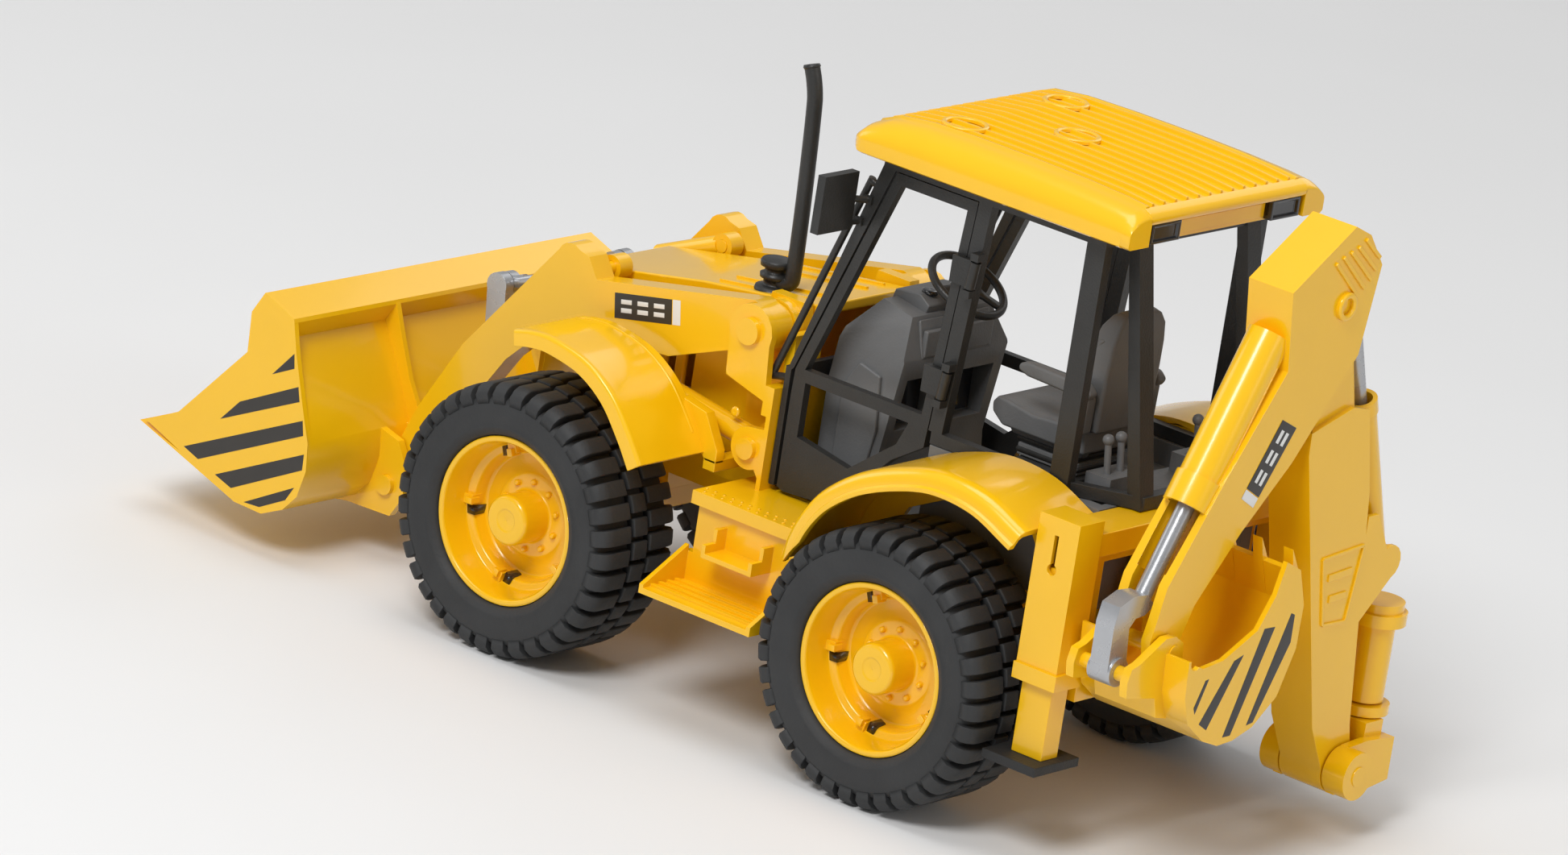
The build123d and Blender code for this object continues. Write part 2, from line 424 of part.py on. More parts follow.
# ---- backhoe: carriage, swing post, boom, dipper, shovel ----
PX, PY = POST
carriage = block(-63, -59.6, PY - 12, PY + 12, 33.4, 100.4)
carriage += block(-63, -52, PY + 3, PY + 12, 97.4, 100.4) + block(-63, -52, PY + 3, PY + 12, 43.4, 46.6)
carriage += block(-74, -62, PY - 6, PY + 6, 60.6, 63.8) + bar((PX, PY, 60.6), (PX, PY, 67.2), 7.4)
carriage += block(-74, -62, PY - 6, PY + 6, 33.4, 36.4) + bar((PX, PY, 33.4), (PX, PY, 36.4), 7.9)
carriage += bar((PX, PY, 60.6), (PX, PY, 64.4), 8.6)
carriage -= bar((PX, PY, 20), (PX, PY, 64.6), 3 + FIT)
parts["sideshift_carriage"] = carriage
post = bar((PX, PY, 37), (PX, PY, 60.2), 5.8) + bar((PX, PY, 14.6), (PX, PY, 33), 5.8)
post += bar((PX, PY, 30), (PX, PY, 64.2), 3)
cheek = [(PY - 3, 15), (PY - 2, 28), (-47, 29), (-38, 28.4), (-31.4, 22), (-34, 14.6), (-48, 13.4)]
post += cross_plate(cheek, PX - 11, PX - 8) + cross_plate(cheek, PX + 8, PX + 11)
post += block(PX - 11, PX + 11, PY - 3, -48.6, 15, 28)
post += block(PX - 8.2, PX + 8.2, PY, -48.6, 15, 33)
post += pin_x(BOOM_PIN, PX - 15.6, PX - 8, 7.2) + pin_x(BOOM_PIN, PX + 8, PX + 14.6, 7.2)
post += pin_x(BOOM_PIN, PX - 16, PX + 14, 3)
parts["swing_post"] = post

BH, DH = 5.6, 7.8     # half widths: boom where it enters the dipper, dipper
boom_low = [(-30.6, 22), (-22.8, 35.6), (2.0, 121.3), (2.4, 128), (-16, 133), (-24.2, 131.4), (-31, 106.3), (-34.4, 84), (-41.4, 34)] \
    + arc_points(*BOOM_PIN, 7.4, 190, 350, 8)
boom = cross_plate(boom_low, ARM_X - 7.4, ARM_X + 7.4)
boom += cross_plate([(2.3, 127), (4.6, 163)] + arc_points(*DIPPER_PIN, 6.4, 0, 180, 8) + [(-19, 132)], ARM_X - BH, ARM_X + BH)
boom -= pin_x(BOOM_PIN, -120, -50, 3 + FIT)
boom -= pin_x(DIPPER_PIN, -120, -50, 3 + FIT)
trench = [(-55, 60), (-34.5, 60), (-34.5, 92), (-22, 126), (-22, 140), (-60, 140)]
boom -= cross_plate(trench, ARM_X - 5.8, ARM_X + 5.8)
ramear = [(-33, 62), (-33, 98), (-38, 98)] + arc_points(*RAM_FOOT, 5.2, 60, 250, 8)
boom += cross_plate(ramear, ARM_X - 7.4, ARM_X - 5.8) + cross_plate(ramear, ARM_X + 5.8, ARM_X + 7.4)
boom += pin_x(RAM_FOOT, ARM_X - 7.2, ARM_X + 7.2, 2.2)
parts["boom"] = boom

dipper_face = [(23.9, 172.4), (-1.6, 188.6), (-9.4, 185.2), (-17.2, 175.5), (-15.2, 163.5), (-13, 149.4), (10.4, 120.8),
               (29.3, 103), (46, 84), (50.5, 74), (52.6, 67.4), (58, 65.6), (62.6, 68), (64.4, 76), (62.6, 82),
               (60.3, 91.3), (42, 118.6), (19.9, 148.8)]
dipper = cross_plate(dipper_face, ARM_X - DH, ARM_X + DH)
fork = [(-40, 60), (14.0, 60), (9.8, 126.6), (6.8, 150), (7.4, 171.4), (-4, 175), (-4.6, 200), (-40, 200)]
dipper -= cross_plate(fork, ARM_X - BH - 0.4, ARM_X + BH + 0.4)
dipper += pin_x(DIPPER_PIN, ARM_X - DH, ARM_X + DH, 3) + pin_x(RAM_EYE, ARM_X - DH, ARM_X + DH, 2)
mouth = along(ROD_PIN, ROD_BACK, 42)
back = along(ROD_PIN, ROD_BACK, 90)
at = lambda t: (lambda p: (ARM_X, p[0], p[1]))(along(ROD_PIN, ROD_BACK, t))
dipper += bar(at(50), at(59), 7.0) + bar(at(55), at(104), 6.3)
dipper -= bar(at(30), at(88), 5.4)
dipper -= cross_plate([(50, 60), (52, 77), (54, 81), (46.2, 101), (47, 103), (60, 110), (80, 80), (75, 60)],
                      ARM_X - 4.7, ARM_X + 4.7)
dipper += pin_x(SHOVEL_PIN, ARM_X - DH - 3.4, ARM_X + DH + 3.4, 2.4)
parts["dipper"] = dipper

at = lambda t: (lambda p: (ARM_X, p[0], p[1]))(along(RAM_FOOT, RAM_EYE, t))
reach = hypot(RAM_EYE[0] - RAM_FOOT[0], RAM_EYE[1] - RAM_FOOT[1])
barrel = pin_x(RAM_FOOT, ARM_X - 5.4, ARM_X + 5.4, 4.6) + bar(at(2), at(53), 4.8) - bar(at(12), at(60), 3.9)
barrel += ring(at(49), Vector(*at(55)) - Vector(*at(49)), 5.3, 3.9, 4.4)
parts["dipper_ram_barrel"] = barrel - pin_x(RAM_FOOT, -120, -50, 2.2 + FIT)
rod = bar(at(44), at(reach - 1), 2.2) + pin_x(RAM_EYE, ARM_X - 4.6, ARM_X + 4.6, 3.9)
parts["dipper_ram_rod"] = rod - pin_x(RAM_EYE, -120, -50, 2 + FIT)

at = lambda t: (lambda p: (ARM_X, p[0], p[1]))(along(ROD_PIN, ROD_BACK, t))
rod = bar(at(18), at(60), 2.6)
crank = [(58.4, 84.6), (62.6, 88.2), (68.6, 88.6), (74.6, 86.4), (76.0, 81), (75.7, 67.4), (67.3, 67.0),
         (68.8, 79.2), (66.4, 81.8), (62.4, 82.2)]
rod += cross_plate(crank, ARM_X - 3.2, ARM_X + 3.2) + pin_x(ROD_PIN, ARM_X - 4, ARM_X + 4, 4.2)
parts["shovel_ram_rod"] = rod - pin_x(ROD_PIN, -120, -50, 2.2 + FIT)

SH = SHOVEL_HALF
curve = [(60, 73), (59.2, 62), (56, 54), (47.5, 47.6), (40, 45), (33, 45.4), (24.5, 48), (15, 55.5), (9.4, 69), (9.2, 82), (13.6, 93)]
inner_curve = [(15.4, 92.4), (11.2, 81.6), (11.4, 69.6), (16.8, 56.6), (25.4, 50), (33.4, 47.4), (40, 47), (46.4, 49.4), (54.4, 55.4), (57.2, 62.6), (58, 73)]
shovel = cross_plate(curve + inner_curve, ARM_X - SH, ARM_X + SH)
cheek = [(60, 73), (59.2, 62), (56, 54), (47.5, 47.6), (40, 45), (33, 45.4), (24.5, 48), (15, 55.5), (9.4, 69), (9.2, 82), (13.6, 93),
         (20.6, 96.4), (23.4, 87), (29.5, 77.6), (43.8, 71), (53, 70)]
for x in (ARM_X - SH, ARM_X + SH - 1.6):
    shovel += cross_plate(cheek, x, x + 1.6)
for k in range(4):
    x = ARM_X - SH + 1 + 10.9 * k
    shovel += cross_plate([(9.6, 84), (13.6, 93), (17.6, 99.4), (15.6, 92), (11.4, 82)], x, x + 3.4)
shovel_ear = [(61.5, 60), (75.4, 62.2), (76.2, 66.6), (75.0, 70.6), (71.5, 71.6), (61, 77.4), (56.5, 77.4), (52.6, 75), (51, 66), (54, 54)]
for x in (ARM_X - DH - 3.0, ARM_X + DH + 0.4):
    shovel += cross_plate(shovel_ear, x, x + 2.6)
shovel += cross_plate([(59, 62), (62, 60), (60, 54), (55, 53), (56, 58)], ARM_X - DH - 3, ARM_X + DH + 3)
shovel -= pin_x(SHOVEL_PIN, ARM_X - DH - 0.4, ARM_X + DH + 0.4, 9.4)
shovel += pin_x(ROD_PIN, ARM_X - DH - 2, ARM_X + DH + 2, 2.2)
shovel -= pin_x(SHOVEL_PIN, -120, -50, 2.4 + FIT)
parts["backhoe_bucket"] = shovel

# ---- export ----
if __name__ == "__main__":
    os.makedirs("parts", exist_ok=True)
    lo, hi = [1e9] * 3, [-1e9] * 3
    for name, shape in parts.items():
        moved = Pos(AXLE_X, 0, 0) * shape
        moved = Compound(moved.solids()) if len(moved.solids()) > 1 else moved.solids()[0]
        export_step(moved, f"parts/{name}.step")
        bb = moved.bounding_box()
        for i, (a, b) in enumerate(zip(tuple(bb.min), tuple(bb.max))):
            lo[i], hi[i] = min(lo[i], a), max(hi[i], b)
        print(f"{name:26s} solids {len(moved.solids())} volume {moved.volume:9.1f}")
    print("bounds", [round(v, 2) for v in lo], [round(v, 2) for v in hi])
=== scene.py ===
import json
from math import cos, hypot, pi, radians, sin, sqrt

import bmesh
import bpy
from mathutils import Matrix, Vector


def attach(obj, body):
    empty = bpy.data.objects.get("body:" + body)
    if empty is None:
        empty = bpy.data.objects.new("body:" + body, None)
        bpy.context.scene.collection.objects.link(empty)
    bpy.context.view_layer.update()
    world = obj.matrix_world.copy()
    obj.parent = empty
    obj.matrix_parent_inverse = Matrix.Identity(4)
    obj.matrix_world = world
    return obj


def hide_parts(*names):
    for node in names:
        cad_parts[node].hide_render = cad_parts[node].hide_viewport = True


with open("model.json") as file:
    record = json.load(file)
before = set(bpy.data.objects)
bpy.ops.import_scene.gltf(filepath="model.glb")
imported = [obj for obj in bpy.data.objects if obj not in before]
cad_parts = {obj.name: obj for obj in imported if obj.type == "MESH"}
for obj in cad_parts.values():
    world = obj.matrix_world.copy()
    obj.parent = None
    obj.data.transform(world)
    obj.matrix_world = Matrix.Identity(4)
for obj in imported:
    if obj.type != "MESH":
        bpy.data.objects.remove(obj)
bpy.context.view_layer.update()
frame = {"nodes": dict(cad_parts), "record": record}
SLOT = {s["node"]: s["material_slot"] for s in frame["record"]["subparts"]}

# Shapes are drawn in millimetres from the rear axle, as in the CAD, and moved by AXLE when made.
AXLE = -92.5
ARM_X = -79.0


def at(x, y, z):
    return Vector(((x + AXLE) / 1000, y / 1000, z / 1000))


# ---- materials ----
def plastic(name, colour, rough, vary=0.06, grain=0.03, grain_size=900, mottle=60, coat=0.0, metallic=0.0,
            spread=0.08,
            coat_rough=0.08, worn=0.0):
    """Moulded plastic: faint colour drift, uneven gloss and a fine surface grain."""
    m = bpy.data.materials.new(name)
    m.use_nodes = True
    t = m.node_tree
    b = t.nodes["Principled BSDF"]
    b.inputs["Metallic"].default_value = metallic
    b.inputs["Coat Weight"].default_value = coat
    b.inputs["Coat Roughness"].default_value = coat_rough
    where = t.nodes.new("ShaderNodeTexCoord").outputs["Object"]

    def noise(scale, detail, distort=0.0):
        n = t.nodes.new("ShaderNodeTexNoise")
        n.inputs["Scale"].default_value = scale
        n.inputs["Detail"].default_value = detail
        n.inputs["Distortion"].default_value = distort
        t.links.new(where, n.inputs["Vector"])
        return n.outputs["Fac"]

    ramp = t.nodes.new("ShaderNodeValToRGB")
    dark = [c * (1 - vary) for c in colour]
    light = [min(1.0, c * (1 + vary) + vary * 0.01) for c in colour]
    ramp.color_ramp.elements[0].position, ramp.color_ramp.elements[0].color = 0.32, (*dark, 1)
    ramp.color_ramp.elements[1].position, ramp.color_ramp.elements[1].color = 0.68, (*light, 1)
    t.links.new(noise(mottle, 3, 0.6), ramp.inputs["Fac"])
    t.links.new(ramp.outputs["Color"], b.inputs["Base Color"])
    span = t.nodes.new("ShaderNodeMapRange")
    span.inputs["To Min"].default_value, span.inputs["To Max"].default_value = rough - spread, rough + spread
    t.links.new(noise(mottle * 3, 4), span.inputs["Value"])
    t.links.new(span.outputs["Result"], b.inputs["Roughness"])
    bump = t.nodes.new("ShaderNodeBump")
    bump.inputs["Strength"].default_value = grain
    bump.inputs["Distance"].default_value = 0.0004
    t.links.new(noise(grain_size, 2), bump.inputs["Height"])
    t.links.new(bump.outputs["Normal"], b.inputs["Normal"])
    return m


YELLOW = plastic("yellow_moulded", (0.95, 0.535, 0.003), 0.24, vary=0.01, grain=0.012, coat=0.5, spread=0.02)
CAB = plastic("cab_satin_black", (0.022, 0.022, 0.021), 0.42, vary=0.12, grain=0.25, grain_size=1500)
TRIM = plastic("interior_grey", (0.15, 0.153, 0.156), 0.48, vary=0.08, grain=0.2, grain_size=1300)
RUBBER = plastic("tyre_rubber", (0.026, 0.027, 0.028), 0.66, vary=0.16, grain=0.35, grain_size=700, mottle=35)
SILVER = plastic("silver_grey", (0.44, 0.45, 0.47), 0.28, vary=0.05, grain=0.08, grain_size=1600, metallic=0.6)
LENS = plastic("lamp_dark", (0.012, 0.012, 0.014), 0.16, vary=0.2, grain=0.04, coat=0.6)
PAD = plastic("foot_pad_black", (0.018, 0.018, 0.018), 0.6, vary=0.15, grain=0.4, grain_size=900)
STEEL = plastic("axle_steel", (0.5, 0.5, 0.5), 0.3, vary=0.05, grain=0.1, metallic=1.0)
INK = plastic("print_dark", (0.03, 0.026, 0.022), 0.36, vary=0.1, grain=0.02)
WHITE = plastic("print_white", (0.8, 0.8, 0.78), 0.36, vary=0.03, grain=0.02)
LOOK = {"yellow": YELLOW, "cab_black": CAB, "interior": TRIM, "tyre": RUBBER, "silver": SILVER, "lens": LENS,
        "steel": STEEL, "pad": PAD}


# ---- mesh tools ----
class Form:
    """Collects closed shells, then makes one object of them."""

    def __init__(self):
        self.bm = bmesh.new()

    def rings(self, rings, loop=False, caps=True, closed=True):
        """Skins a list of rings of points; loop joins the last ring to the first."""
        made = [[self.bm.verts.new(p) for p in ring] for ring in rings]
        pairs = list(zip(made, made[1:])) + ([(made[-1], made[0])] if loop else [])
        for a, b in pairs:
            n = len(a)
            for i in range(n if closed else n - 1):
                j = (i + 1) % n
                self.bm.faces.new((a[i], a[j], b[j], b[i]))
        if caps and not loop:
            self.bm.faces.new(made[0][::-1])
            self.bm.faces.new(made[-1])
        return self

    def prism(self, pts, axis, a, b):
        put = {"x": lambda p, q, t: (t, p, q), "y": lambda p, q, t: (p, t, q), "z": lambda p, q, t: (p, q,
                                t)}[axis]
        return self.rings([[put(p, q, t) for p, q in pts] for t in (a, b)])

    def box(self, x0, x1, y0, y1, z0, z1):
        return self.prism([(x0, y0), (x1, y0), (x1, y1), (x0, y1)], "z", z0, z1)

    def lathe(self, profile, centre, axis, n=48):
        """Turns a closed (radius, height) outline about an axis through centre."""
        d = Vector(axis).normalized()
        u = d.orthogonal().normalized()
        v = d.cross(u)
        c = Vector(centre)
        rings = [[c + d * h + (u * cos(2 * pi * i / n) + v * sin(2 * pi * i / n)) * max(r, 0.02) for r,
                  h in profile]
                 for i in range(n)]
        return self.rings(rings, loop=True, caps=False)

    def rod(self, p, q, r, ease=0.3, n=28, r2=None):
        p, q = Vector(p), Vector(q)
        h, s = (q - p).length, r if r2 is None else r2
        return self.lathe([(0, 0), (r - ease, 0), (r - ease * 0.3, ease * 0.3), (r, ease), (s, h - ease),
                           (s - ease * 0.3, h - ease * 0.3), (s - ease, h), (0, h)], p, q - p, n)

    def tube(self, pts, r, n=14):
        pts = [Vector(p) for p in pts]
        rings, u = [], None
        for i, p in enumerate(pts):
            d = (pts[min(i + 1, len(pts) - 1)] - pts[max(i - 1, 0)]).normalized()
            u = d.orthogonal().normalized() if u is None else (u - d * u.dot(d)).normalized()
            v = d.cross(u)
            rr = r[i] if isinstance(r, (list, tuple)) else r
            rings.append([p + (u * cos(2 * pi * k / n) + v * sin(2 * pi * k / n)) * rr for k in range(n)])
        return self.rings(rings)

    def sweep(self, path, section, deepest=lambda x, z: -99.0):
        """A section of (y, height) points carried along an (x, z) path, height along its normal and never under deepest."""
        rings = []
        for i, (x, z) in enumerate(path):
            x0, z0 = path[max(i - 1, 0)]
            x1, z1 = path[min(i + 1, len(path) - 1)]
            d = hypot(x1 - x0, z1 - z0)
            nx, nz = (z1 - z0) / d, -(x1 - x0) / d
            low = deepest(x, z)
            rings.append([(x + nx * max(h, low), y, z + nz * max(h, low)) for y, h in section])
        return self.rings(rings)

    def done(self, name, body, look, side=1, bevel=0.3, segments=2, angle=32, stands_for=(), subsurf=0):
        bm = self.bm
        for v in bm.verts:
            v.co = at(v.co.x, v.co.y * side, v.co.z)
        bmesh.ops.recalc_face_normals(bm, faces=bm.faces)
        mesh = bpy.data.meshes.new(name)
        bm.to_mesh(mesh)
        bm.free()
        o = bpy.data.objects.new(name, mesh)
        bpy.context.scene.collection.objects.link(o)
        mesh.materials.append(look)
        if subsurf:
            s = o.modifiers.new("round", "SUBSURF")
            s.levels = s.render_levels = subsurf
        soften(o, bevel, segments, angle)
        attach(o, body)
        if stands_for:
            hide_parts(*stands_for)
        return o


def soften(o, bevel, segments=2, angle=32):
    """Rounded moulded edges and clean shading."""
    for p in o.data.polygons:
        p.use_smooth = True
    if bevel:
        m = o.modifiers.new("edges", "BEVEL")
        m.width, m.segments, m.limit_method, m.angle_limit = bevel / 1000, segments, "ANGLE", radians(angle)
        m.use_clamp_overlap, m.harden_normals = True, False
    w = o.modifiers.new("shade", "WEIGHTED_NORMAL")
    w.weight, w.keep_sharp = 60, False


def spline(points, steps=6):
    """A smooth line through the points."""
    p = [Vector(q) for q in points]
    p = [p[0] * 2 - p[1]] + p + [p[-1] * 2 - p[-2]]
    out = []
    for i in range(1, len(p) - 2):
        for k in range(steps):
            t = k / steps
            out.append(0.5 * ((2 * p[i]) + (p[i + 1] - p[i - 1]) * t
                              + (2 * p[i - 1] - 5 * p[i] + 4 * p[i + 1] - p[i + 2]) * t * t
                              + (3 * p[i] - p[i - 1] - 3 * p[i + 1] + p[i + 2]) * t ** 3))
    return [tuple(v) for v in out + [p[-2]]]


# ---- CAD nodes that stay: moulded edges and their finish ----
EDGE = {"mirrors": 0.9, "front_bucket": 0.45, "boom": 0.6, "dipper": 0.6, "loader_arms": 0.5, "hood": 0.7,
        "cab_frame": 0.3,
        "door_left": 0.3, "door_right": 0.3, "stabiliser_tube_left": 0.45, "stabiliser_tube_right": 0.45}
for name, o in frame["nodes"].items():
    look = LOOK[SLOT[name]]
    o.data.materials.clear()
    o.data.materials.append(look)
    weld = o.modifiers.new("weld", "WELD")
    weld.merge_threshold = 2e-6
    flat = o.modifiers.new("flat", "DECIMATE")
    flat.decimate_type, flat.angle_limit = "DISSOLVE", radians(0.8)
    soften(o, EDGE.get(name, 0.3))

# ---- wheels ----
TYRE_R, HUB_Z, FACE = 40.75, 40.75, 43.0
LIP_GAP = 1.0  # least room between a fender lip and its tyre


def tyre_form(x):
    f = Form()
    half = [(25.25, 3.2), (26.0, 1.7), (27.6, 0.75), (28.3, 0.45), (28.9, 0.7), (31.5, 0.28), (34.4, 0.3),
            (35.0, 0.75),
            (36.0, 1.1), (36.9, 2.6), (37.5, 5.0), (37.8, 9.5), (37.9, 17)]
    outline = half + [(r, 34 - t) for r, t in half[-2::-1]]
    f.lathe([(r, t) for r, t in outline], (x, FACE, HUB_Z), (0, 1, 0), 144)
    lug = [(34.9, 0.55), (37.7, 0.3), (39.7, 1.7), (40.6, 3.6), (40.75, 5.2), (40.72, 12.2), (40.2, 12.9),
           (37.2, 12.9), (36.2, 2.4)]
    mid = [(37.2, 13.9), (40.3, 13.9), (40.72, 14.4), (40.75, 17), (40.72, 19.6), (40.3, 20.1), (37.2, 20.1)]

    def block(profile, centre, half_width, tall, flip):
        rings = []
        for k, (a, drop) in enumerate(((-half_width, 0.55), (-half_width + 0.45, 0), (0, 0),
                                (half_width - 0.45, 0), (half_width, 0.55))):
            ang = radians(centre + a)
            ring = []
            for r, t in profile:
                rr = r - drop if r > tall else r
                ring.append((x + rr * sin(ang), FACE + (34 - t if flip else t), HUB_Z + rr * cos(ang)))
            rings.append(ring)
        f.rings(rings)

    for k in range(36):
        block(lug, 10 * k, 3.55, 39, True)
        block(lug, 10 * k + 5, 3.55, 39, False)
        block(mid, 10 * k + 2.5, 3.9, 39, False)
    return f


def rim_form(x):
    f = Form()
    outline = [(3.15, 49), (9, 49), (9, 55), (19, 55), (21.2, 46), (25.15, 46), (25.15, 74.0), (24.9,
                            74.35), (24.3, 74.4),
               (23.6, 74.3), (23.1, 73.5), (22.8, 70.5), (22.2, 66.8), (21.7, 65.6), (20.9, 65.1), (19.9,
                                       64.9), (19.3, 64.2),
               (18.7, 61.0), (18.0, 60.3), (15.4, 60.6), (13.4, 61.2), (12.7, 61.9), (11.9, 62.3), (8.6,
                                       62.5), (7.9, 62.8),
               (7.6, 63.5), (7.6, 71.6), (7.35, 72.5), (6.7, 73.1), (6.0, 73.2), (3.5, 73.2), (3.1,
                                       72.9), (0, 72.9), (0, 69.3), (3.15, 69.3)]
    f.lathe(outline, (x, 0, HUB_Z), (0, 1, 0), 96)
    for k in range(10):
        a = 2 * pi * k / 10
        c = Vector((x + 10.3 * sin(a), 0, HUB_Z + 10.3 * cos(a)))
        f.lathe([(0, 62), (0.95, 62), (0.95, 63.1), (0.7, 63.6), (0, 63.8)], c, (0, 1, 0), 12)
    for k in range(5):
        a = radians(72 * k + 20)
        u, v = Vector((sin(a), 0, cos(a))), Vector((cos(a), 0, -sin(a)))
        base = Vector((x, 0, HUB_Z))
        for r0, r1, w, y0, y1 in ((18.8, 22.5, 1.55, 60.6, 66.6), (18.0, 20.4, 0.95, 64.0, 68.0)):
            corners = [(r0, -w), (r1, -w), (r1, w), (r0, w)]
            f.rings([[base + u * r + v * t + Vector((0, y, 0)) for r, t in corners] for y in (y0, y1)])
    return f


# Dark blocks beside each rim rib: painted shade for the recess next to the rib, not a dark part of the rim.
def rim_shade_patches(x):
    f = Form()
    for k in range(5):
        a = radians(72 * k + 20)
        u, v = Vector((sin(a), 0, cos(a))), Vector((cos(a), 0, -sin(a)))
        base = Vector((x, 0, HUB_Z))
        corners = [(18.2, 1.9), (21.9, 1.9), (21.9, 4.6), (18.2, 4.6)]
        f.rings([[base + u * r + v * t + Vector((0, y, 0)) for r, t in corners] for y in (59, 65.5)])
    return f


for end, x in (("front", 139.0), ("rear", 0.0)):
    for hand, side in (("left", 1), ("right", -1)):
        body = f"wheel_{end}_{hand}"
        tyre_form(x).done(f"tread_tyre_{end}_{hand}", body, RUBBER, side, bevel=0,
                          stands_for=[f"tyre_{end}_{hand}"])
        rim_form(x).done(f"dished_rim_{end}_{hand}", body, YELLOW, side, bevel=0.25,
                         stands_for=[f"rim_{end}_{hand}"])
        # the dark blocks on each rim are painted shade beside the ribs
        rim_shade_patches(x).done(f"rim_shade_patches_{end}_{hand}", body, LENS, side, bevel=0)

# ---- fenders ----
front_line = spline([(146, 97.4), (139, 98.9), (131, 99.1), (118, 96.4), (107, 90.0), (98.5, 80.6), (92.6,
                        72.4)], 5)
front_cut = [(43.5, 0), (69.0, 0), (71.4, -0.1), (72.6, 0.1), (73.6, -0.3), (74, -1.2), (74, -5.0), (72.7,
                        -5.0), (72.6, -2.6),
             (71.4, -1.9), (43.5, -1.9)]
rear_line = spline([(39.6, 62), (38.2, 69.4), (34.2, 78), (27.6, 86.2), (16.5, 94.2), (2, 100.2), (-12,
                        103.2), (-28, 101.8), (-43.4, 95.6)], 5)
rear_cut = [(38.6, 0), (68.0, 0), (70.4, -0.25), (72.0, -1.2), (72.7, -2.6), (72.9, -4.6), (74, -5.0), (74,
                        -6.4), (71.6, -6.4),
            (71.4, -3.2), (70.4, -2.3), (68.0, -2.1), (38.6, -2.1)]
for hand, side in (("left", 1), ("right", -1)):
    f = Form().sweep(front_line, front_cut)
    f.prism([(104, 86), (101, 82), (96, 75), (94.8, 73), (92, 70), (88, 70), (88, 74), (94, 84)], "y", 41.2, 45)
    f.box(88, 92.5, 26.8, 45, 67.5, 71)
    f.sweep([(x, z + 0.35) for x, z in front_line[2:-3]], [(46.5, 0), (47.5, 0), (47.5, -0.8), (46.5, -0.8)])
    f.done(f"front_fender_arch_{hand}", "machine", YELLOW, side, bevel=0.25, angle=40,
           stands_for=[f"front_fender_{hand}"])
    f = Form().sweep(rear_line, rear_cut, lambda x, z: TYRE_R + LIP_GAP - hypot(x, z - HUB_Z))
    f.prism([(-43.4, 66), (-43.4, 94.4), (-28, 100.6), (-12, 102), (1.6, 99), (16, 93), (26.6, 85), (33,
                            77), (36.8, 69), (38.2, 63),
             (30, 60), (20, 78), (0, 88), (-24, 84), (-36, 66)], "y", 38.6, 40.6)
    f.done(f"rear_fender_arch_{hand}", "machine", YELLOW, side, bevel=0.25, angle=40,
           stands_for=[f"rear_fender_{hand}"])

# ---- roof ----
ROOF_LINE = [(-44.4, 183.0), (-43.4, 184.4), (-41, 185.5), (-30, 186.6), (-10, 187.3), (10, 187.6), (34,
                        187.5), (48, 186.0),
             (55, 183.2), (57.4, 181), (58.4, 179)]
BEND = [radians(90 * k / 7) for k in range(1, 8)]


def roof_height(x):
    for (xa, za), (xb, zb) in zip(ROOF_LINE, ROOF_LINE[1:]):
        if x <= xb:
            return za + (zb - za) * max(0.0, (x - xa) / (xb - xa))
    return ROOF_LINE[-1][1]


def roof_section(x):
    """Crown, ridge line, rounded shoulder and side lip at one station."""
    h, gap = roof_height(x), 58.4 - x
    w = 45.5 if gap >= 6 else 39.5 + sqrt(36 - (6 - gap) ** 2)
    low = 174.5 if x < 55 else 174.5 + 2.5 * (x - 55) / 3.4
    knee = min(178.6, low + (h - low) * 0.45)
    half = [(w - 1.0, low), (w, low + 0.6), (w, knee)]
    half += [(w - 9.4 + 9.4 * cos(a), knee + (h - 0.5 - knee) * sin(a)) for a in BEND]
    half += [(w - 10.0, h + 0.1), (w - 11.2, h + 0.1), (w - 11.9, h - 0.7)]
    return [(x, y, z) for y, z in half] + [(x, -y, z) for y, z in half[::-1]]


f = Form().rings([roof_section(x) for x in (-41.2, -40, -34, -20, 0, 20, 36, 44, 48, 51, 53.4, 55, 56.2,
                        57.4, 58.1, 58.4)])
f.prism([(-41, 180.8), (-43.9, 180.8), (-44.4, 181.6), (-44.4, 182.8), (-43.4, 184.1), (-41, 185.1)], "y",
        -36.4, 36.4)
for s in (1, -1):
    horn = []
    for x in (-44.4, -43.8, -42.6, -41.0):
        h = roof_height(x) - 0.5
        ring = [(36, 174.6), (44.5, 174.6), (45.5, 175.5), (45.5, 178.6)]
        ring += [(36.1 + 9.4 * cos(a), 178.6 + (h - 178.6) * sin(a)) for a in BEND] + [(36, h)]
        horn.append([(x, s * y, z) for y, z in ring])
    f.rings(horn)
for k in range(-6, 7):
    y = 5.3 * k
    f.rings([[(x, y - 0.8, z - 1.4), (x, y - 0.45, z + 0.25), (x, y + 0.45, z + 0.25), (x, y + 0.8, z - 1.4)]
             for x, z in ((x, roof_height(x)) for x in [-40.6 + 94 * i / 30 for i in range(31)])])
for cx, cy, lean in ((33.9, -22.3, 0.01), (31.1, 27.7, 0.01), (9.4, 3.3, 0.0)):
    f.lathe([(5.4, -0.6), (6.9, -0.6), (6.9, 0.3), (6.5, 0.62), (5.9, 0.62), (5.4, 0.3)], (cx, cy,
                            roof_height(cx) - 0.1), (lean, 0, 1), 40)
f.box(-41.9, -41.0, -20.4, 20.4, 175.8, 179.8)
f.done("roof_shell", "machine", YELLOW, bevel=0.2, angle=50, stands_for=["roof"])
f = Form()
for s in (1, -1):
    f.rings([[(x, s * y0, z0), (x, s * y1, z0), (x, s * y1, z1), (x, s * y0, z1)] for x, y0, y1, z0, z1 in
             ((-41.0, 21.4, 34.6, 174.9, 180.7), (-43.9, 21.4, 34.6, 174.9, 180.7), (-43.9, 22.3, 33.7,
                                     175.6, 180.0),
              (-43.1, 22.9, 33.1, 176.0, 179.6))])
f.done("work_lamp_housings", "machine", LENS, bevel=0.2, stands_for=["work_lamps"])

